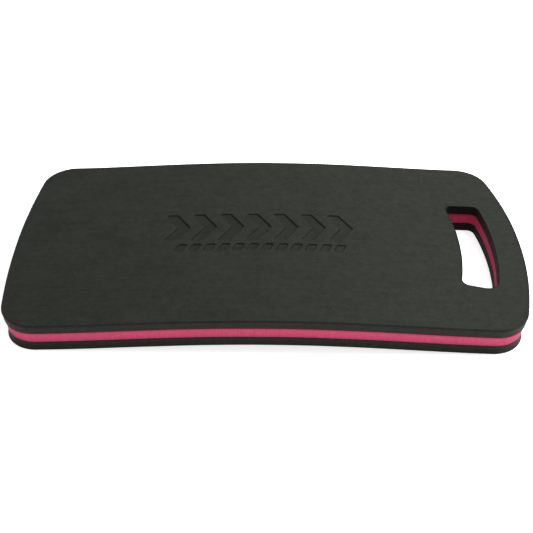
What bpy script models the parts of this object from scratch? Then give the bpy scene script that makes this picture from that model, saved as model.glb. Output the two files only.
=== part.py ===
"""Foam kneeling pad: three sheets of closed-cell foam glued face to face and die cut together.

Metres, +Z up. X runs along the pad towards its hand hole and Y runs across it. The origin is on
the floor, under the middle of the pad. The pad is a shallow arch, so it meets the floor only with
the flat land at each end. Every sheet is modelled lying flat and then takes the arch.
"""

import math

import bmesh
import bpy
import numpy as np
from mathutils import Vector

# Whole pad
PAD_LENGTH = 0.450
PAD_WIDTH = 0.245
LEFT_END_BOW = 0.0095
RIGHT_END_BOW = 0.0195
CORNER_RADIUS = 0.0310
ARCH_RISE = 0.0080
LAND_START = 0.210

# Layers, from the floor up
BOTTOM_SHEET = 0.0083
CORE_SHEET = 0.0103
TOP_SHEET = 0.0084
BOND_FILM = 0.0003
FILM_CLEARANCE = 0.0003
FILM_STEP_IN = 0.0055

# Cut edges: the die squeezes the foam, so the wall draws in below the knee side's rim
WALL_DRAW_IN = 0.0028
DEEPEST_DRAW_IN = 0.0200
KNEE_RIM_ROUNDING = 0.0013
FLOOR_RIM_ROUNDING = 0.0008
GLUED_RIM_ROUNDING = 0.0004

# Hand hole, curved a little more than the right end
HOLE_MARGIN = 0.0248
HOLE_WIDTH = 0.0304
HOLE_LENGTH = 0.1225
HOLE_SHIFT = -0.0053
HOLE_OUTER_RADIUS = 0.2950
HOLE_NEAR_CORNERS = (0.0105, 0.0063)
HOLE_FAR_CORNERS = (0.0068, 0.0062)
HOLE_RIM_ROUNDING = 0.0005

# Debossed tread: a row of chevrons over a row of slanted bars
DEBOSS_DEPTH = 0.0010
CHEVRON_COUNT = 7
CHEVRON_PITCH = 0.0240
CHEVRON_STROKE = 0.0100
CHEVRON_POINT = 0.0120
CHEVRON_HEIGHT = 0.0400
CHEVRON_ROW = (-0.0080, 0.0100)
BAR_COUNT = 12
BAR_PITCH = 0.0125
BAR_STROKE = 0.0070
BAR_LEAN = 0.0040
BAR_HEIGHT = 0.0100
BAR_ROW = (-0.0065, -0.0210)

# Facets
CORNER_STEPS = 7
END_STEPS = 8
HOLE_CORNER_STEPS = 4
HOLE_ARC_STEPS = 6
ROUNDING_STEPS = 2
ARCH_STEPS = 16
SHARP_ANGLE = math.radians(35)

PAD_THICKNESS = BOTTOM_SHEET + CORE_SHEET + TOP_SHEET
HALF_LENGTH = PAD_LENGTH / 2
HALF_WIDTH = PAD_WIDTH / 2
HALF_GLUE_LINE = BOND_FILM / 2 + FILM_CLEARANCE

BLACK_FOAM = {"color": (0.015, 0.016, 0.014), "roughness": 0.85}
PINK_FOAM = {"color": (0.470, 0.048, 0.112), "roughness": 0.80}
DRIED_ADHESIVE = {"color": (0.550, 0.450, 0.240), "roughness": 0.45}


def clear_scene():
    for obj in list(bpy.data.objects):
        bpy.data.objects.remove(obj)


def make_material(name, look):
    material = bpy.data.materials.new(name)
    material.use_nodes = True
    shader = material.node_tree.nodes["Principled BSDF"]
    shader.inputs["Base Color"].default_value = (*look["color"], 1.0)
    shader.inputs["Roughness"].default_value = look["roughness"]
    shader.inputs["Metallic"].default_value = 0.0
    return material


def arc(centre, radius, start, end, steps):
    """Points along an arc, both ends included, with angles in radians from +X."""
    angles = np.linspace(start, end, steps + 1)
    return [Vector((centre[0] + radius * math.cos(a), centre[1] + radius * math.sin(a))) for a in angles]


def end_radius(bow):
    """Radius of a short end that stands out by bow in its middle."""
    return (HALF_WIDTH**2 + bow**2) / (2 * bow)


def bowed_end(bow, step_in):
    """The half of the outline around an end at +X: near corner, bowed end, far corner."""
    bow_radius = end_radius(bow)
    bow_centre = HALF_LENGTH - bow_radius
    corner_y = HALF_WIDTH - CORNER_RADIUS
    corner_reach = bow_radius - CORNER_RADIUS
    corner_x = bow_centre + math.sqrt(corner_reach**2 - corner_y**2)
    meet = math.atan2(corner_y, corner_x - bow_centre)
    radius = CORNER_RADIUS - step_in
    near = arc((corner_x, -corner_y), radius, -math.pi / 2, -meet, CORNER_STEPS)
    end = arc((bow_centre, 0), bow_radius - step_in, -meet, meet, END_STEPS)
    far = arc((corner_x, corner_y), radius, meet, math.pi / 2, CORNER_STEPS)
    return near + end[1:-1] + far


def pad_outline(step_in):
    """Anticlockwise outline of the pad, moved in by step_in."""
    right = bowed_end(RIGHT_END_BOW, step_in)
    left = bowed_end(LEFT_END_BOW, step_in)
    return right + [Vector((-p.x, -p.y)) for p in left]


def hand_hole_outline(step_in):
    """Anticlockwise outline of the hand hole, widened by step_in.

    Its long walls are arcs around one centre. The near end wall lies along a radius from there,
    and the far end wall along the pad.
    """
    outer = HOLE_OUTER_RADIUS
    inner = outer - HOLE_WIDTH
    centre = Vector((HALF_LENGTH - HOLE_MARGIN - outer, 0))
    middle = (outer + inner) / 2
    near_angle = (HOLE_SHIFT - HOLE_LENGTH / 2) / middle
    far_angle = (HOLE_SHIFT + HOLE_LENGTH / 2) / middle
    points = []
    for side, wall_angle, lean, (outer_corner, inner_corner) in (
        (-1, near_angle, near_angle, HOLE_NEAR_CORNERS),
        (1, far_angle, 0.0, HOLE_FAR_CORNERS),
    ):
        wall_middle = Vector((math.cos(wall_angle), math.sin(wall_angle))) * middle
        along = Vector((math.cos(lean), math.sin(lean)))
        inwards = Vector((-along.y, along.x)) * -side
        corners = []
        for reach, radius in ((outer - outer_corner, outer_corner), (inner + inner_corner, inner_corner)):
            start = wall_middle + inwards * radius
            back = start.dot(along)
            spot = start + along * (math.sqrt(back**2 - start.length_squared + reach**2) - back)
            corners.append((centre + spot, radius + step_in, math.atan2(spot.y, spot.x)))
        (outer_spot, outer_radius, outer_angle), (inner_spot, inner_radius, inner_angle) = corners
        wall_normal = math.atan2(-inwards.y, -inwards.x)
        outer_turn = arc(outer_spot, outer_radius, outer_angle, wall_normal, HOLE_CORNER_STEPS)
        inner_end = inner_angle + side * math.pi
        inner_turn = arc(inner_spot, inner_radius, wall_normal, inner_end, HOLE_CORNER_STEPS)
        points.append((outer_turn + inner_turn, outer_angle, inner_angle))
    (near, near_outer, near_inner), (far, far_outer, far_inner) = points
    outer_wall = arc(centre, outer + step_in, near_outer, far_outer, HOLE_ARC_STEPS)
    inner_wall = arc(centre, inner - step_in, far_inner, near_inner, HOLE_ARC_STEPS)
    return near[::-1] + outer_wall[1:-1] + far + inner_wall[1:-1]


def rim_profile(low, high, low_rounding, high_rounding):
    """(step in, height) up a cut edge, with the rims at both ends of the cut rounded."""
    turns = np.linspace(0, math.pi / 2, ROUNDING_STEPS + 1)
    from_side, from_flat = 1 - np.sin(turns), 1 - np.cos(turns)
    lower = zip(low_rounding * from_side, low + low_rounding * from_flat)
    upper = zip(high_rounding * from_flat, high - high_rounding * from_side)
    return [*lower, *upper]


def wall_draw_in(height):
    """How far in the pad's outer wall lies at a height: 0 at the knee side, most in the lower core."""
    depth = PAD_THICKNESS - height
    return WALL_DRAW_IN * math.sin(math.pi / 2 * depth / DEEPEST_DRAW_IN) ** 2


def add_ring(bm, outline, height):
    return [bm.verts.new((p.x, p.y, height)) for p in outline]


def ring_edges(bm, ring):
    return [bm.edges.get(pair) for pair in zip(ring, ring[1:] + ring[:1])]


def bridge_rings(bm, rings):
    for lower, upper in zip(rings, rings[1:]):
        for i in range(len(lower)):
            j = (i + 1) % len(lower)
            bm.faces.new((lower[i], lower[j], upper[j], upper[i]))


def flat_sheet(wall, hole_wall):
    """A sheet lying flat, from the (step in, height) profiles of its outer wall and hand hole."""
    bm = bmesh.new()
    around = [add_ring(bm, pad_outline(step_in), z) for step_in, z in wall]
    hole = [add_ring(bm, hand_hole_outline(step_in)[::-1], z) for step_in, z in hole_wall]
    bridge_rings(bm, around)
    bridge_rings(bm, hole)
    for level in (0, -1):
        loops = ring_edges(bm, around[level]) + ring_edges(bm, hole[level])
        bmesh.ops.triangle_fill(bm, edges=loops, use_beauty=True, use_dissolve=True)
    bmesh.ops.recalc_face_normals(bm, faces=bm.faces[:])
    return bm


def arch_stations():
    """Where the arch is creased across the pad: evenly between the two lands, and at the ends."""
    between = np.linspace(-LAND_START, LAND_START, ARCH_STEPS + 1)
    return np.concatenate(([-HALF_LENGTH], between, [HALF_LENGTH]))


def arch_rise(x):
    along = np.clip(x / LAND_START, -1, 1)
    return ARCH_RISE * (1 - along**2) ** 2


def arch_slope(x):
    along = np.clip(x / LAND_START, -1, 1)
    return -4 * ARCH_RISE * along * (1 - along**2) / LAND_START


def take_arch(bm):
    """Bend a flat mesh: each point rises with the arch and leans with its slope."""
    stations = arch_stations()
    for x in stations[1:-1]:
        everything = bm.verts[:] + bm.edges[:] + bm.faces[:]
        bmesh.ops.bisect_plane(bm, geom=everything, plane_co=(x, 0, 0), plane_no=(1, 0, 0))
    rises = arch_rise(stations)
    leans = np.sin(np.arctan(arch_slope(stations)))
    for vert in bm.verts:
        x, y, z = vert.co
        lean = np.interp(x, stations, leans)
        upright = math.sqrt(1 - lean**2)
        vert.co = (x - z * lean, y, np.interp(x, stations, rises) + z * upright)


def add_object(name, bm, material=None):
    """Write the mesh out as an object, smooth apart from its sharp edges."""
    mesh = bpy.data.meshes.new(name)
    bm.to_mesh(mesh)
    bm.free()
    mesh.shade_smooth()
    mesh.set_sharp_from_angle(angle=SHARP_ANGLE)
    if material:
        mesh.materials.append(material)
    obj = bpy.data.objects.new(name, mesh)
    bpy.context.scene.collection.objects.link(obj)
    return obj


def make_sheet(name, low, high, roundings, material):
    wall = [(wall_draw_in(z) + step_in, z) for step_in, z in rim_profile(low, high, *roundings)]
    hole_wall = rim_profile(low, high, HOLE_RIM_ROUNDING, HOLE_RIM_ROUNDING)
    bm = flat_sheet(wall, hole_wall)
    take_arch(bm)
    return add_object(name, bm, material)


def make_bond_film(name, middle, material):
    """Square-edged film of adhesive, kept back from the cut edges."""
    wall = [(FILM_STEP_IN, middle - BOND_FILM / 2), (FILM_STEP_IN, middle + BOND_FILM / 2)]
    bm = flat_sheet(wall, wall)
    take_arch(bm)
    return add_object(name, bm, material)


def chevron(x, y):
    """Outline of a chevron that points to +X, around its own middle."""
    left = x - (CHEVRON_STROKE + CHEVRON_POINT) / 2
    low, high = y - CHEVRON_HEIGHT / 2, y + CHEVRON_HEIGHT / 2
    right = left + CHEVRON_STROKE
    tip = (right + CHEVRON_POINT, y)
    notch = (left + CHEVRON_POINT, y)
    return [(left, low), (right, low), tip, (right, high), (left, high), notch]


def slanted_bar(x, y):
    """Outline of a short bar that leans to +X, around its own middle."""
    low, high = y - BAR_HEIGHT / 2, y + BAR_HEIGHT / 2
    left = x - (BAR_STROKE + BAR_LEAN) / 2
    right = left + BAR_STROKE
    return [(left, low), (right, low), (right + BAR_LEAN, high), (left + BAR_LEAN, high)]


def row_of(shape, count, pitch, middle):
    first = middle[0] - pitch * (count - 1) / 2
    return [shape(first + pitch * i, middle[1]) for i in range(count)]


def make_tread_cutter():
    """Prisms that sink the tread into the knee side, arched with the pad."""
    bm = bmesh.new()
    shapes = row_of(chevron, CHEVRON_COUNT, CHEVRON_PITCH, CHEVRON_ROW)
    shapes += row_of(slanted_bar, BAR_COUNT, BAR_PITCH, BAR_ROW)
    floor, roof = PAD_THICKNESS - DEBOSS_DEPTH, PAD_THICKNESS + DEBOSS_DEPTH
    for shape in shapes:
        face = bm.faces.new([bm.verts.new((x, y, floor)) for x, y in shape])
        raised = bmesh.ops.extrude_face_region(bm, geom=[face])["geom"]
        top = [v for v in raised if isinstance(v, bmesh.types.BMVert)]
        bmesh.ops.translate(bm, verts=top, vec=(0, 0, roof - floor))
    bmesh.ops.recalc_face_normals(bm, faces=bm.faces[:])
    take_arch(bm)
    cutter = add_object("tread_cutter", bm)
    cutter.hide_render = True
    cutter.display_type = "WIRE"
    return cutter


def sink_tread(sheet, cutter):
    cut = sheet.modifiers.new("tread", "BOOLEAN")
    cut.operation = "DIFFERENCE"
    cut.solver = "EXACT"
    cut.object = cutter


def build_pad():
    clear_scene()
    black = make_material("black_foam", BLACK_FOAM)
    pink = make_material("pink_foam", PINK_FOAM)
    adhesive = make_material("dried_adhesive", DRIED_ADHESIVE)
    lower_glue = BOTTOM_SHEET
    upper_glue = BOTTOM_SHEET + CORE_SHEET
    floor_rims = (FLOOR_RIM_ROUNDING, GLUED_RIM_ROUNDING)
    core_rims = (GLUED_RIM_ROUNDING, GLUED_RIM_ROUNDING)
    knee_rims = (GLUED_RIM_ROUNDING, KNEE_RIM_ROUNDING)
    make_sheet("bottom_sheet", 0, lower_glue - HALF_GLUE_LINE, floor_rims, black)
    make_bond_film("lower_bond_film", lower_glue, adhesive)
    make_sheet("core_sheet", lower_glue + HALF_GLUE_LINE, upper_glue - HALF_GLUE_LINE, core_rims, pink)
    make_bond_film("upper_bond_film", upper_glue, adhesive)
    top = make_sheet("top_sheet", upper_glue + HALF_GLUE_LINE, PAD_THICKNESS, knee_rims, black)
    sink_tread(top, make_tread_cutter())


build_pad()
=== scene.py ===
import math

import bpy
import numpy as np
from mathutils import Matrix, Vector, noise
from mathutils.geometry import delaunay_2d_cdt


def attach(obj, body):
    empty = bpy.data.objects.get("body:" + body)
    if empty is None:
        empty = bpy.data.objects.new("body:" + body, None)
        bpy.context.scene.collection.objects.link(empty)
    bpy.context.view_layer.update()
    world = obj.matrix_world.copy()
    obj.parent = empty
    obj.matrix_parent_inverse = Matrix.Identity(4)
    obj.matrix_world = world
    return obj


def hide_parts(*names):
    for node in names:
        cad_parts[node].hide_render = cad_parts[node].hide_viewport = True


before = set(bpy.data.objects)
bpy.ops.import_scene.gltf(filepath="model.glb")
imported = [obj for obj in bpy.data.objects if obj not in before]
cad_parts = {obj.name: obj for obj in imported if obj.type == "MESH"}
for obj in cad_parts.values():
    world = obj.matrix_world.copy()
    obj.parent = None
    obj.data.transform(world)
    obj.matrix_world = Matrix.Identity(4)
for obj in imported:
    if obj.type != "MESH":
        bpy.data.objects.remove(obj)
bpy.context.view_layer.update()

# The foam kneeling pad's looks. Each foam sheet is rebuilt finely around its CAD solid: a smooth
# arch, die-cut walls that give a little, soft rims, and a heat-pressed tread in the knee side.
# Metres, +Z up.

# The pad, as its CAD solids have it
HALF_LENGTH = 0.2250
HALF_WIDTH = 0.1225
LEFT_END_BOW = 0.0095
RIGHT_END_BOW = 0.0195
CORNER_RADIUS = 0.0310
ARCH_RISE = 0.0080
LAND_START = 0.2100
PAD_THICKNESS = 0.0270
LOWER_GLUE = 0.0083
UPPER_GLUE = 0.0186
WALL_DRAW_IN = 0.0028
DEEPEST_DRAW_IN = 0.0200

# Hand hole, with its corners as (outer, inner)
HOLE_MARGIN = 0.0248
HOLE_WIDTH = 0.0304
HOLE_LENGTH = 0.1225
HOLE_SHIFT = -0.0053
HOLE_OUTER_RADIUS = 0.2950
HOLE_NEAR_CORNERS = (0.0105, 0.0063)
HOLE_FAR_CORNERS = (0.0068, 0.0062)

# Debossed tread: chevrons over slanted bars
DEBOSS_DEPTH = 0.0010
CHEVRON_COUNT = 7
CHEVRON_PITCH = 0.0240
CHEVRON_STROKE = 0.0100
CHEVRON_POINT = 0.0120
CHEVRON_HEIGHT = 0.0400
CHEVRON_ROW = (-0.0080, 0.0100)
BAR_COUNT = 12
BAR_PITCH = 0.0125
BAR_STROKE = 0.0070
BAR_LEAN = 0.0040
BAR_HEIGHT = 0.0100
BAR_ROW = (-0.0065, -0.0210)
TREAD_CORNER = 0.0014

# How finely the foam is drawn
OUTLINE_STEP = 0.0025
SKIN_STEP = 0.0050
SKIN_CLEARANCE = 0.0030
SAME_POINT = 1e-7
ROUNDING_STEPS = 5
TREAD_CORNER_STEPS = 5
DISH_STOPS = (0.25, 0.50, 0.75)

# How the die-cut foam gives
KNEE_RIM_ROUNDING = 0.0013
FLOOR_RIM_ROUNDING = 0.0008
GLUED_RIM_ROUNDING = 0.0004
HOLE_RIM_ROUNDING = 0.0005
WALL_DISH = 0.00025

# Half the gap between two glued sheets, and the pocket between them that holds the bond film.
# The pocket's wall leans in from POCKET_START to POCKET_END, both measured from the rim.
GLUE_GAP = 0.00004
POCKET = 0.00045
POCKET_START = 0.0041
POCKET_END = 0.0047

# How far the painted shade of a free edge fades into the skin, and how much of it is left there
RIM_SHADE_FADE = 0.0008
FADED_RIM_SHADE = 0.4

# The foam's unevenness: how far, how long a slow and a quick swing are, the quick one's share
CUT_WANDER = 0.00016
CUT_SLOW = 0.035
CUT_QUICK = 0.007
CUT_QUICK_SHARE = 0.35
CUT_SEED_BY_HEIGHT = 200
SKIN_WANDER = 0.00012
SKIN_SLOW = 0.060
SKIN_QUICK = 0.022
SKIN_QUICK_SHARE = 0.4
SKIN_REACH = 0.7
SKIN_SEEDS = (3.7, 9.1)

# What a material can ask of a point: how much it is cut wall, pressed, under painted edge shade,
# under painted shade inside the hand hole
MARKS = ("cut", "pressed", "rim", "hole_shade")


# ---------------------------------------------------------------- outlines

def arc(centre, radius, start, end, inside=False):
    """(points, outward normals) along an arc; inside flips the normals towards its centre."""
    steps = max(4, math.ceil(abs(end - start) * radius / OUTLINE_STEP))
    angles = np.linspace(start, end, steps + 1)
    normals = np.stack([np.cos(angles), np.sin(angles)], 1)
    return np.asarray(centre) + normals * radius, -normals if inside else normals


def closed_outline(arcs):
    """Arcs joined in turn by straight runs, as one closed loop of (points, outward normals)."""
    points, normals = [], []
    for (arc_points, arc_normals), (next_points, _) in zip(arcs, arcs[1:] + arcs[:1]):
        points.append(arc_points)
        normals.append(arc_normals)
        run = next_points[0] - arc_points[-1]
        steps = math.ceil(np.linalg.norm(run) / OUTLINE_STEP)
        for i in range(1, steps):
            points.append(arc_points[-1:] + run * i / steps)
            normals.append(arc_normals[-1:])
    points, normals = np.concatenate(points), np.concatenate(normals)
    apart = np.linalg.norm(points - np.roll(points, 1, 0), axis=1) > OUTLINE_STEP / 100
    return points[apart], normals[apart]


def end_radius(bow):
    """Radius of a short end that stands out by bow in its middle."""
    return (HALF_WIDTH**2 + bow**2) / (2 * bow)


def bowed_end(bow, turn):
    """The three arcs around one short end: corner, bowed end, corner. turn is 0 or pi."""
    bow_radius = end_radius(bow)
    bow_centre = HALF_LENGTH - bow_radius
    corner_y = HALF_WIDTH - CORNER_RADIUS
    corner_x = bow_centre + math.sqrt((bow_radius - CORNER_RADIUS) ** 2 - corner_y**2)
    meet = math.atan2(corner_y, corner_x - bow_centre)
    way = math.cos(turn)
    return [
        arc((way * corner_x, -way * corner_y), CORNER_RADIUS, turn - math.pi / 2, turn - meet),
        arc((way * bow_centre, 0), bow_radius, turn - meet, turn + meet),
        arc((way * corner_x, way * corner_y), CORNER_RADIUS, turn + meet, turn + math.pi / 2),
    ]


def pad_outline():
    return closed_outline(bowed_end(RIGHT_END_BOW, 0) + bowed_end(LEFT_END_BOW, math.pi))


def hand_hole_outline():
    """Anticlockwise, with normals that point into the hole, so that they leave the foam."""
    outer = HOLE_OUTER_RADIUS
    inner = outer - HOLE_WIDTH
    centre = np.array([HALF_LENGTH - HOLE_MARGIN - outer, 0])
    middle = (outer + inner) / 2
    near_angle = (HOLE_SHIFT - HOLE_LENGTH / 2) / middle
    far_angle = (HOLE_SHIFT + HOLE_LENGTH / 2) / middle
    arcs = []
    for side, wall_angle, lean, (outer_corner, inner_corner) in (
        (-1, near_angle, near_angle, HOLE_NEAR_CORNERS),
        (1, far_angle, 0.0, HOLE_FAR_CORNERS),
    ):
        wall_middle = np.array([math.cos(wall_angle), math.sin(wall_angle)]) * middle
        along = np.array([math.cos(lean), math.sin(lean)])
        inwards = np.array([-along[1], along[0]]) * -side
        wall_normal = math.atan2(-inwards[1], -inwards[0])
        turns = {}
        for name, reach, radius in (
            ("outer", outer - outer_corner, outer_corner),
            ("inner", inner + inner_corner, inner_corner),
        ):
            start = wall_middle + inwards * radius
            back = start @ along
            spot = start + along * (math.sqrt(back**2 - start @ start + reach**2) - back)
            turns[name] = (centre + spot, radius, math.atan2(spot[1], spot[0]))
        spot, radius, outer_angle = turns["outer"]
        outer_turn = (spot, radius, outer_angle, wall_normal)
        spot, radius, inner_angle = turns["inner"]
        inner_turn = (spot, radius, wall_normal, inner_angle + side * math.pi)
        arcs.append((outer_turn, inner_turn, outer_angle, inner_angle))
    near_outer, near_inner, near_out_angle, near_in_angle = arcs[0]
    far_outer, far_inner, far_out_angle, far_in_angle = arcs[1]
    near_turns = [
        (spot, radius, end, start) for spot, radius, start, end in (near_inner, near_outer)
    ]
    return closed_outline(
        [arc(*turn, inside=True) for turn in near_turns]
        + [arc(centre, outer, near_out_angle, far_out_angle, inside=True)]
        + [arc(*turn, inside=True) for turn in (far_outer, far_inner)]
        + [arc(centre, inner, far_in_angle, near_in_angle)]
    )


# ---------------------------------------------------------------- the foam's own unevenness

def wander(points, period, seed):
    """Smooth noise from -1 to 1 for each (x, y), about one swing per period."""
    return np.array([noise.noise((x / period, y / period, seed)) for x, y in points])


def arch(points):
    """Bend flat points: each rises with the arch and leans with its slope."""
    along = np.clip(points[:, 0] / LAND_START, -1, 1)
    rise = ARCH_RISE * (1 - along**2) ** 2
    slope = -4 * ARCH_RISE * along * (1 - along**2) / LAND_START
    lean = np.arctan(slope)
    z = points[:, 2]
    return np.stack([points[:, 0] - z * np.sin(lean), points[:, 1], rise + z * np.cos(lean)], 1)


# ---------------------------------------------------------------- sheets

class SheetMesh:
    """Collects rings and skins of one sheet lying flat, then arches them into a mesh."""

    def __init__(self):
        self.points = []
        self.marks = []
        self.faces = []

    def add(self, points, height, cut=0.0, pressed=0.0, rim=0.0, hole_shade=0.0):
        """Add points with their marks, and return their numbers."""
        first = len(self.points)
        heights = np.broadcast_to(height, len(points))
        self.points += [(x, y, z) for (x, y), z in zip(points, heights)]
        self.marks += [(cut, pressed, rim, hole_shade)] * len(points)
        return list(range(first, len(self.points)))

    def bridge(self, lower, upper, flip=False):
        for i in range(len(lower)):
            j = (i + 1) % len(lower)
            face = (lower[i], lower[j], upper[j], upper[i])
            self.faces.append(face[::-1] if flip else face)

    def skin(self, loops, scatter, up):
        """Triangles between closed loops of points, through the scattered ones."""
        numbers = [n for loop in loops for n in loop] + scatter
        place = {n: i for i, n in enumerate(numbers)}
        edges = [(place[a], place[b]) for loop in loops for a, b in zip(loop, loop[1:] + loop[:1])]
        flat = [Vector(self.points[n][:2]) for n in numbers]
        found = delaunay_2d_cdt(flat, edges, [], 1, SAME_POINT)
        origin = [numbers[o[0]] for o in found[3]]
        lines = [np.array([self.points[n][:2] for n in loop]) for loop in loops]
        middles = np.array([np.mean([found[0][i] for i in face], axis=0) for face in found[2]])
        keep = inside_loop(middles, lines[0])
        for line in lines[1:]:
            keep &= ~inside_loop(middles, line)
        for face in (face for face, kept in zip(found[2], keep) if kept):
            corners = [origin[i] for i in face]
            (ax, ay), (bx, by), (cx, cy) = (self.points[n][:2] for n in corners)
            turns_left = (bx - ax) * (cy - ay) - (by - ay) * (cx - ax) > 0
            self.faces.append(corners if turns_left == up else corners[::-1])

    def build(self, name):
        mesh = bpy.data.meshes.new(name)
        mesh.from_pydata(arch(np.array(self.points)).tolist(), [], self.faces)
        for column, label in enumerate(MARKS):
            layer = mesh.attributes.new(label, "FLOAT", "POINT")
            layer.data.foreach_set("value", np.array(self.marks)[:, column].astype(np.float32))
        mesh.validate()
        mesh.shade_smooth()
        obj = bpy.data.objects.new(name, mesh)
        bpy.context.scene.collection.objects.link(obj)
        return obj


def cut_profile(low, high, low_rounding, high_rounding):
    """(step in, height, how much painted edge shade it gets) up a die-cut wall, dished a little in
    the middle.
    """
    profile = []
    for turn in np.linspace(0, math.pi / 2, ROUNDING_STEPS + 1):
        drop = low_rounding * (1 - math.cos(turn))
        profile.append((low_rounding * (1 - math.sin(turn)), low + drop, 1 - turn / math.pi))
    for along in DISH_STOPS:
        start, end = low + low_rounding, high - high_rounding
        dish = WALL_DISH * math.sin(math.pi * along)
        profile.append((dish, start + (end - start) * along, 0.0))
    for turn in np.linspace(0, math.pi / 2, ROUNDING_STEPS + 1):
        drop = high_rounding * (1 - math.sin(turn))
        profile.append((high_rounding * (1 - math.cos(turn)), high - drop, 0.5 + turn / math.pi))
    return profile


def wall_draw_in(height):
    """How far in the pad's outer wall lies at a height: the die squeezes the foam as it cuts."""
    depth = PAD_THICKNESS - height
    return WALL_DRAW_IN * math.sin(math.pi / 2 * depth / DEEPEST_DRAW_IN) ** 2


def wandering_ring(outline, step_in, height, seed):
    """A ring of a die-cut wall, which strays a little from its line, differently in each sheet."""
    points, normals = outline
    quick = wander(points, CUT_QUICK, seed + height * CUT_SEED_BY_HEIGHT)
    stray = CUT_WANDER * (wander(points, CUT_SLOW, seed) + CUT_QUICK_SHARE * quick)
    return points + normals * (stray - CUT_WANDER - step_in)[:, None]


def inside_loop(points, loop):
    """Which points lie inside a closed loop."""
    x, y = points[:, :1], points[:, 1:]
    a, b = loop, np.roll(loop, -1, 0)
    crosses = (a[:, 1] > y) != (b[:, 1] > y)
    rise = np.where(a[:, 1] == b[:, 1], 1, b[:, 1] - a[:, 1])
    left_of = x < (b[:, 0] - a[:, 0]) * (y - a[:, 1]) / rise + a[:, 0]
    return (crosses & left_of).sum(1) % 2 == 1


def skin_scatter(around, holes, step):
    """A staggered grid of points inside one loop and outside the others, clear of every loop."""
    xs = np.arange(-HALF_LENGTH, HALF_LENGTH, step)
    ys = np.arange(-HALF_WIDTH, HALF_WIDTH, step * math.sqrt(3) / 2)
    grid = np.array([(x + step / 2 * (row % 2), y) for row, y in enumerate(ys) for x in xs])
    keep = inside_loop(grid, around)
    for hole in holes:
        keep &= ~inside_loop(grid, hole)
    grid = grid[keep]
    for loop in [around, *holes]:
        apart = np.linalg.norm(grid[:, None] - loop[None], axis=2).min(1)
        grid = grid[apart > min(SKIN_CLEARANCE, step)]
    return grid


def rounded_loop(corners, grow):
    """Outline of a straight-sided shape with rounded corners, grown by grow on every side."""
    corners = [np.array(c) for c in corners]
    befores, afters = corners[-1:] + corners[:-1], corners[1:] + corners[:1]
    loop = []
    for before, corner, after in zip(befores, corners, afters):
        arrive = (corner - before) / np.linalg.norm(corner - before)
        leave = (after - corner) / np.linalg.norm(after - corner)
        bend = math.atan2(arrive[0] * leave[1] - arrive[1] * leave[0], arrive @ leave)
        side = math.copysign(1, bend)
        left_of_arrive = np.array([-arrive[1], arrive[0]])
        back = TREAD_CORNER * math.tan(abs(bend) / 2)
        centre = corner - arrive * back + left_of_arrive * TREAD_CORNER * side
        start = math.atan2(-left_of_arrive[1] * side, -left_of_arrive[0] * side)
        for turn in np.linspace(0, bend, TREAD_CORNER_STEPS + 1):
            way = np.array([math.cos(start + turn), math.sin(start + turn)])
            loop.append(centre + way * (TREAD_CORNER + grow * side))
    return np.array(loop)


def chevron(x, y):
    """Corners of a chevron that points to +X, around its own middle."""
    left = x - (CHEVRON_STROKE + CHEVRON_POINT) / 2
    low, high = y - CHEVRON_HEIGHT / 2, y + CHEVRON_HEIGHT / 2
    right = left + CHEVRON_STROKE
    tip = (right + CHEVRON_POINT, y)
    notch = (left + CHEVRON_POINT, y)
    return [(left, low), (right, low), tip, (right, high), (left, high), notch]


def slanted_bar(x, y):
    """Corners of a short bar that leans to +X, around its own middle."""
    low, high = y - BAR_HEIGHT / 2, y + BAR_HEIGHT / 2
    left = x - (BAR_STROKE + BAR_LEAN) / 2
    right = left + BAR_STROKE
    return [(left, low), (right, low), (right + BAR_LEAN, high), (left + BAR_LEAN, high)]


def tread_shapes():
    rows = (
        (chevron, CHEVRON_COUNT, CHEVRON_PITCH, CHEVRON_ROW),
        (slanted_bar, BAR_COUNT, BAR_PITCH, BAR_ROW),
    )
    for shape, count, pitch, (x, y) in rows:
        for i in range(count):
            yield shape(x + pitch * (i - (count - 1) / 2), y)


# (grow, share of the depth, how much it is pressed) around each tread shape, from the skin down
TREAD_PROFILE = (
    (0.00090, 0.00, 0.0),
    (0.00055, 0.05, 0.35),
    (0.00025, 0.22, 0.5),
    (0.00000, 0.50, 0.6),
    (-0.00025, 0.78, 0.85),
    (-0.00055, 0.95, 1.0),
    (-0.00090, 1.00, 1.0),
)


def press_tread(sheet):
    """Sink the tread into the knee side, and return the (ring, line) of each shape's edge."""
    edges = []
    for corners in tread_shapes():
        loops = [rounded_loop(corners, grow) for grow, _, _ in TREAD_PROFILE]
        rings = []
        for loop, (_, share, pressed) in zip(loops, TREAD_PROFILE):
            rings.append(sheet.add(loop, skin_height(loop) - share * DEBOSS_DEPTH, pressed=pressed))
        for upper, lower in zip(rings, rings[1:]):
            sheet.bridge(upper, lower)
        sheet.skin([rings[-1]], [], up=True)
        edges.append((rings[0], loops[0]))
    return edges


def skin_height(points):
    """Height of the knee side lying flat, with the slow unevenness of soft sheet foam."""
    slow_seed, quick_seed = SKIN_SEEDS
    quick = wander(points, SKIN_QUICK, quick_seed)
    swing = wander(points, SKIN_SLOW, slow_seed) + SKIN_QUICK_SHARE * quick
    return PAD_THICKNESS - SKIN_WANDER + SKIN_WANDER * SKIN_REACH * swing


# (outline, is it the hand hole)
OUTLINES = ((pad_outline(), False), (hand_hole_outline(), True))


def skin_steps(height, is_hole, up, rounding):
    """(step in, height, how much painted edge shade it gets) of the rings between a wall and its
    skin.
    """
    if height not in (0, PAD_THICKNESS):
        pocket_floor = height + (-1 if up else 1) * (POCKET - GLUE_GAP)
        return (POCKET_START, height, 0.0), (POCKET_END, pocket_floor, 0.0)
    rim_end = HOLE_RIM_ROUNDING if is_hole else wall_draw_in(height) + rounding
    return (rim_end + RIM_SHADE_FADE, height, FADED_RIM_SHADE), (POCKET_START, height, 0.0)


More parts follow.
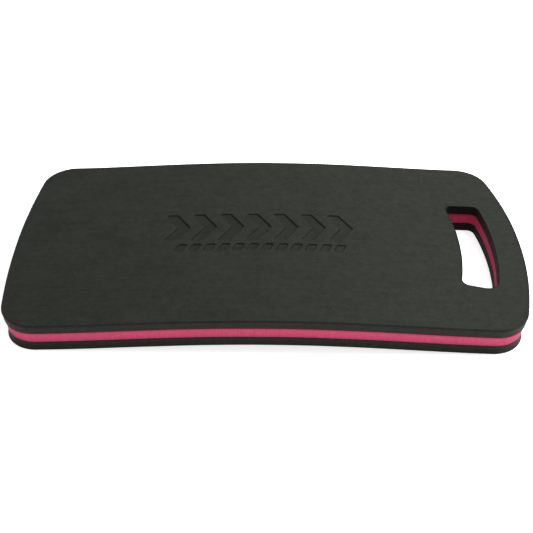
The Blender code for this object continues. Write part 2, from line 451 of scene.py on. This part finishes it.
def make_sheet(name, low, high, roundings, seed):
    """One die-cut sheet: walls around the pad and the hand hole, and a skin on both sides."""
    sheet = SheetMesh()
    walls = {}
    for outline, is_hole in OUTLINES:
        rings = []
        rims = (HOLE_RIM_ROUNDING, HOLE_RIM_ROUNDING) if is_hole else roundings
        for out, height, rim in cut_profile(low, high, *rims):
            step_in = out if is_hole else wall_draw_in(height) + out
            line = wandering_ring(outline, step_in, height, seed)
            rings.append(sheet.add(line, height, cut=1.0, rim=rim, hole_shade=float(is_hole)))
        for below, above in zip(rings, rings[1:]):
            sheet.bridge(below, above, flip=is_hole)
        walls[is_hole] = rings
    for up in (False, True):
        wavy = up and high >= PAD_THICKNESS
        edges = []
        for (points, normals), is_hole in OUTLINES:
            last = walls[is_hole][-1 if up else 0]
            for out, height, rim in skin_steps(high if up else low, is_hole, up, roundings[up]):
                line = points - normals * out
                ring = sheet.add(line, skin_height(line) if wavy else height, rim=rim)
                sheet.bridge(last, ring, flip=is_hole != (not up))
                last = ring
            edges.append((last, line))
        if wavy:
            edges += press_tread(sheet)
        rings, lines = zip(*edges)
        scatter = skin_scatter(lines[0], lines[1:], SKIN_STEP)
        sheet.skin(list(rings), sheet.add(scatter, skin_height(scatter) if wavy else height), up)
    return sheet.build(name)


# ---------------------------------------------------------------- materials

# The mix node's sockets for a share and two colours, and for the colour that comes out
MIX_INPUTS = (0, 6, 7)
MIX_RESULT = 2

# Foam texture, in swings per metre, along X, Y and Z where it is stretched
MOTTLE_SCALE = 32.0
BLOTCH_SCALE = 150.0
GRAIN_SCALE = 1300.0
CELL_SCALE = 1500.0
STREAK_STRETCH = (14.0, 420.0, 420.0)
DRAG_STRETCH = (900.0, 900.0, 70.0)

# The values between which most of a noise and of a cell texture lies
NOISE_SWING = (0.3, 0.7)
CELL_SWING = (0.1, 0.7)

# How far each pattern moves the skin, or the cut wall, from its one colour to its other
MOTTLE_TONE = (0.0, 0.30)
STREAK_TONE = (0.0, 0.14)
BLOTCH_TONE = (0.0, 0.26)
GRAIN_TONE = (-0.15, 0.45)
CELL_TONE = (0.0, 0.6)
DRAG_TONE = (0.0, 0.4)

# Darkening of the pressed tread, painted shade in the creases around it, and painted shade on the
# foam inside the hand hole
PRESSED_SHARE = 0.45
CREASE_SHADE_SHARE = 0.7
HOLE_SHADE_TINT = (0.76, 0.52, 0.62, 1)

# Gloss left on the darkest and lightest skin, on rims, in the hand hole, in creases, where pressed
TONE_GLOSS = (0.40, 1.60)
RIM_SHADE_GLOSS = 0.8
HOLE_SHADE_GLOSS = 0.3
CREASE_SHADE_GLOSS = 0.35
PRESSED_GLOSS = 0.78

SKIN_ROUGHNESS = (0.72, 0.84)
CUT_ROUGHER = 0.08
PRESSED_SMOOTHER = 0.06
SHEEN = 0.02
SHEEN_ROUGHNESS = 0.6

# Relief of the finest texture, and how much each pattern adds to it
RELIEF_DEPTH = 0.00025
RELIEF_STRENGTH = 0.55
GRAIN_RELIEF = 0.6
STREAK_RELIEF = 0.8
CELL_RELIEF = 1.6
DRAG_RELIEF = 0.6

BLACK_LOOK = {
    "skin": ((0.0036, 0.0042, 0.0029, 1), (0.0082, 0.0092, 0.0070, 1)),
    "cut": ((0.0038, 0.0040, 0.0031, 1), (0.0120, 0.0122, 0.0100, 1)),
    # Painted shade along the rounded edges and glue lines of the black sheets
    "rim": (0.0038, 0.0040, 0.0031, 1),
    "rim_share": 0.12,
    "specular": (0.180, 0.23),
    "specular_tint": (0.95, 1.0, 0.90, 1),
}
PINK_LOOK = {
    "skin": ((0.44, 0.037, 0.098, 1), (0.53, 0.060, 0.138, 1)),
    "cut": ((0.35, 0.026, 0.075, 1), (0.49, 0.065, 0.140, 1)),
    # Painted shadow: deep red along the pink core's edges at the glue lines
    "rim": (0.120, 0.008, 0.022, 1),
    "rim_share": 0.75,
    "specular": (0.22, 0.18),
    "specular_tint": (1, 1, 1, 1),
}
ADHESIVE_THICK = (0.45, 0.33, 0.14, 1)
ADHESIVE_THIN = (0.62, 0.52, 0.30, 1)
ADHESIVE_ROUGHNESS = (0.35, 0.55)
ADHESIVE_SPECULAR = 0.5
DROP_SCALE = 240.0
SPRAY_SCALE = 90.0
DROP_SWING = (0.0, 0.8)
DROP_TONE = (0.0, 0.6)
SPRAY_TONE = (0.0, 0.4)
DROP_DEPTH = 0.0002
DROP_STRENGTH = 0.5


class Nodes:
    """Small helper that adds nodes to a material and links them."""

    def __init__(self, name):
        self.material = bpy.data.materials.new(name)
        self.material.use_nodes = True
        self.tree = self.material.node_tree
        self.shader = self.tree.nodes["Principled BSDF"]

    def add(self, kind, inputs=None, **settings):
        node = self.tree.nodes.new(kind)
        for key, value in settings.items():
            setattr(node, key, value)
        for key, value in (inputs or {}).items():
            self.feed(node.inputs[key], value)
        return node

    def feed(self, socket, value):
        if isinstance(value, bpy.types.NodeSocket):
            self.tree.links.new(value, socket)
        else:
            socket.default_value = value

    def place(self, scale):
        """Object coordinates, in metres, times scale."""
        inputs = {"Vector": self.add("ShaderNodeTexCoord").outputs["Object"], "Scale": scale}
        return self.add("ShaderNodeMapping", inputs).outputs["Vector"]

    def noise(self, detail, roughness, scale=1.0, stretch=(1, 1, 1)):
        inputs = {"Vector": self.place(stretch), "Scale": scale}
        inputs |= {"Detail": detail, "Roughness": roughness}
        return self.add("ShaderNodeTexNoise", inputs).outputs["Fac"]

    def cells(self, scale):
        inputs = {"Vector": self.place((1, 1, 1)), "Scale": scale}
        return self.add("ShaderNodeTexVoronoi", inputs).outputs["Distance"]

    def attribute(self, name):
        return self.add("ShaderNodeAttribute", attribute_name=name).outputs["Fac"]

    def math(self, operation, a, b=0.0):
        return self.add("ShaderNodeMath", {0: a, 1: b}, operation=operation).outputs[0]

    def span(self, value, to, swing=(0.0, 1.0)):
        """Value stretched from the range swing to the range to, and held inside it."""
        inputs = {"Value": value, "From Min": swing[0], "From Max": swing[1]}
        inputs |= {"To Min": to[0], "To Max": to[1]}
        return self.add("ShaderNodeMapRange", inputs).outputs["Result"]

    def combine(self, operation, values):
        first, *rest = values
        for value in rest:
            first = self.math(operation, first, value)
        return first

    def total(self, *values):
        return self.combine("ADD", values)

    def product(self, *values):
        return self.combine("MULTIPLY", values)

    def mix(self, share, a, b, blend="MIX"):
        node = self.add("ShaderNodeMix", data_type="RGBA", blend_type=blend)
        for socket, value in zip(MIX_INPUTS, (share, a, b)):
            self.feed(node.inputs[socket], value)
        return node.outputs[MIX_RESULT]

    def bump(self, height, distance, strength):
        inputs = {"Height": height, "Distance": distance, "Strength": strength}
        return self.add("ShaderNodeBump", inputs).outputs["Normal"]

    def finish(self, **inputs):
        """Feed the shader's inputs, named with _ for a space."""
        for key, value in inputs.items():
            self.feed(self.shader.inputs[key.replace("_", " ")], value)
        return self.material


def foam_material(name, look):
    """Closed-cell foam: grained skin with split lines along the pad, and open cells where cut."""
    n = Nodes(name)
    dark, light = look["skin"]
    cut_dark, cut_light = look["cut"]
    cut, pressed, rim, hole_shade = (n.attribute(mark) for mark in MARKS)
    mottle = n.noise(4.0, 0.6, scale=MOTTLE_SCALE)
    blotches = n.noise(3.0, 0.6, scale=BLOTCH_SCALE)
    grain = n.noise(2.0, 0.6, scale=GRAIN_SCALE)
    streaks = n.noise(3.0, 0.6, stretch=STREAK_STRETCH)
    drag = n.noise(2.0, 0.5, stretch=DRAG_STRETCH)
    cells = n.cells(CELL_SCALE)

    tone = n.total(
        n.span(mottle, MOTTLE_TONE, NOISE_SWING),
        n.span(streaks, STREAK_TONE, NOISE_SWING),
        n.span(blotches, BLOTCH_TONE, NOISE_SWING),
        n.span(grain, GRAIN_TONE, NOISE_SWING),
    )
    skin = n.mix(tone, dark, light)
    skin = n.mix(n.product(pressed, PRESSED_SHARE), skin, dark)
    # Painted shade in the creases: full where the foam is half pressed, around a tread shape, and
    # none on the skin or its floor
    crease_shade = n.product(pressed, 4.0, n.math("SUBTRACT", 1.0, pressed))
    skin = n.mix(n.product(crease_shade, CREASE_SHADE_SHARE), skin, cut_dark)
    cut_tone = n.total(n.span(cells, CELL_TONE, CELL_SWING), n.span(drag, DRAG_TONE, NOISE_SWING))
    wall = n.mix(cut_tone, cut_light, cut_dark)
    color = n.mix(cut, skin, wall)
    # Painted shade along rounded edges and glue lines
    color = n.mix(n.product(rim, look["rim_share"]), color, look["rim"])
    # Painted shade: the foam inside the hand hole is darkened and tinted deeper
    color = n.mix(hole_shade, color, HOLE_SHADE_TINT, "MULTIPLY")

    gloss = n.product(
        n.span(tone, TONE_GLOSS),
        n.span(cut, look["specular"]),
        n.span(rim, (1.0, RIM_SHADE_GLOSS)),
        n.span(hole_shade, (1.0, HOLE_SHADE_GLOSS)),
        n.span(crease_shade, (1.0, CREASE_SHADE_GLOSS)),
        n.span(pressed, (1.0, PRESSED_GLOSS)),
    )
    skin_relief = n.total(n.product(grain, GRAIN_RELIEF), n.product(streaks, STREAK_RELIEF))
    cut_relief = n.total(n.product(cells, CELL_RELIEF), n.product(drag, DRAG_RELIEF))
    relief = n.mix(cut, skin_relief, cut_relief)
    return n.finish(
        Base_Color=color,
        Roughness=n.total(
            n.span(mottle, SKIN_ROUGHNESS, NOISE_SWING),
            n.product(cut, CUT_ROUGHER),
            n.product(pressed, -PRESSED_SMOOTHER),
        ),
        Normal=n.bump(relief, RELIEF_DEPTH, RELIEF_STRENGTH),
        Specular_IOR_Level=gloss,
        Specular_Tint=look["specular_tint"],
        Sheen_Weight=SHEEN,
        Sheen_Roughness=SHEEN_ROUGHNESS,
    )


def adhesive_material():
    """Dried contact adhesive: an amber film, thicker and darker in drops."""
    n = Nodes("dried_adhesive")
    drops = n.cells(DROP_SCALE)
    spray = n.noise(4.0, 0.6, scale=SPRAY_SCALE)
    tone = n.total(n.span(drops, DROP_TONE, DROP_SWING), n.span(spray, SPRAY_TONE, NOISE_SWING))
    return n.finish(
        Base_Color=n.mix(tone, ADHESIVE_THICK, ADHESIVE_THIN),
        Roughness=n.span(spray, ADHESIVE_ROUGHNESS, NOISE_SWING),
        Normal=n.bump(drops, DROP_DEPTH, DROP_STRENGTH),
        Specular_IOR_Level=ADHESIVE_SPECULAR,
    )


# ---------------------------------------------------------------- pieces

black = foam_material("black_foam", BLACK_LOOK)
pink = foam_material("pink_foam", PINK_LOOK)

# (piece, CAD node, floor side, knee side, roundings there, material, slot, seed)
sheets = (
    ("foam_top", "top_sheet", UPPER_GLUE + GLUE_GAP, PAD_THICKNESS,
     (GLUED_RIM_ROUNDING, KNEE_RIM_ROUNDING), black, "black_foam", 1.3),
    ("foam_core", "core_sheet", LOWER_GLUE + GLUE_GAP, UPPER_GLUE - GLUE_GAP,
     (GLUED_RIM_ROUNDING, GLUED_RIM_ROUNDING), pink, "pink_foam", 5.9),
    ("foam_bottom", "bottom_sheet", 0, LOWER_GLUE - GLUE_GAP,
     (FLOOR_RIM_ROUNDING, GLUED_RIM_ROUNDING), black, "black_foam", 11.2),
)
for name, node, low, high, roundings, material, slot, seed in sheets:
    piece = make_sheet(name, low, high, roundings, seed)
    piece.data.materials.append(material)
    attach(piece, "root")
    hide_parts(node)

adhesive = adhesive_material()
for node in ("upper_bond_film", "lower_bond_film"):
    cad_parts[node].material_slots[0].material = adhesive


# ---------------------------------------------------------------- stage

FLOOR_SIZE = 40.0
FLOOR_DROP = 0.0002
FLOOR_WHITE = (0.90, 0.90, 0.90, 1)
FLOOR_ROUGHNESS = 0.9
FLOOR_GLOW = 0.75
SKY_STRENGTH = 0.42
WHITE = (1, 1, 1, 1)

# The one lamp, a soft box above the pad's right end
LAMP_PLACE = (0.95, 0.40, 1.50)
LAMP_AIM = (0.1, 0, 0)
LAMP_SIZE = (1.4, 1.1)
LAMP_POWER = 72


def add_floor():
    """A white sheet that glows a little, as a light table does under a cut-out product picture."""
    bpy.ops.mesh.primitive_plane_add(size=FLOOR_SIZE, location=(0, 0, -FLOOR_DROP))
    floor = bpy.context.object
    floor.name = "floor"
    material = Nodes("pale_floor").finish(
        Base_Color=FLOOR_WHITE,
        Roughness=FLOOR_ROUGHNESS,
        Specular_IOR_Level=0.0,
        Emission_Color=WHITE,
        Emission_Strength=FLOOR_GLOW,
    )
    floor.data.materials.append(material)


def add_soft_light(name, place, aim, size, power):
    data = bpy.data.lights.new(name, "AREA")
    data.shape = "RECTANGLE"
    data.size, data.size_y = size
    data.energy = power
    light = bpy.data.objects.new(name, data)
    bpy.context.scene.collection.objects.link(light)
    light.location = place
    light.rotation_euler = (Vector(aim) - Vector(place)).to_track_quat("-Z", "Y").to_euler()


def add_sky(strength):
    world = bpy.data.worlds.new("studio")
    world.use_nodes = True
    background = world.node_tree.nodes["Background"]
    background.inputs["Color"].default_value = WHITE
    background.inputs["Strength"].default_value = strength
    bpy.context.scene.world = world


CAMERA_TURN = 0.025
CAMERA_ELEVATION = 0.645
CAMERA_ROLL = -0.007
CAMERA_SIDE = -0.0211
CAMERA_LIFT = -0.0301
CAMERA_DISTANCE = 0.8558
CAMERA_LENS = 64.84
CAMERA_SENSOR = 36.0
CAMERA_SHIFT = 0.0422


def add_camera():
    """Looks down at the pad from its long near side; the frame is shifted off the lens's middle."""
    turn = Matrix.Rotation(CAMERA_TURN, 4, "Z")
    tilt = Matrix.Rotation(math.pi / 2 - CAMERA_ELEVATION, 4, "X")
    roll = Matrix.Rotation(CAMERA_ROLL, 4, "Z")
    away = Matrix.Translation((CAMERA_SIDE, CAMERA_LIFT, CAMERA_DISTANCE))
    data = bpy.data.cameras.new("camera")
    data.lens = CAMERA_LENS
    data.sensor_width = CAMERA_SENSOR
    data.shift_x = CAMERA_SHIFT
    camera = bpy.data.objects.new("camera", data)
    bpy.context.scene.collection.objects.link(camera)
    arch_top = Matrix.Translation((0, 0, PAD_THICKNESS + ARCH_RISE))
    camera.matrix_world = arch_top @ turn @ tilt @ roll @ away
    bpy.context.scene.camera = camera


add_floor()
add_sky(SKY_STRENGTH)
add_soft_light("overhead", LAMP_PLACE, LAMP_AIM, LAMP_SIZE, LAMP_POWER)
add_camera()
bpy.context.scene.view_settings.view_transform = "Standard"
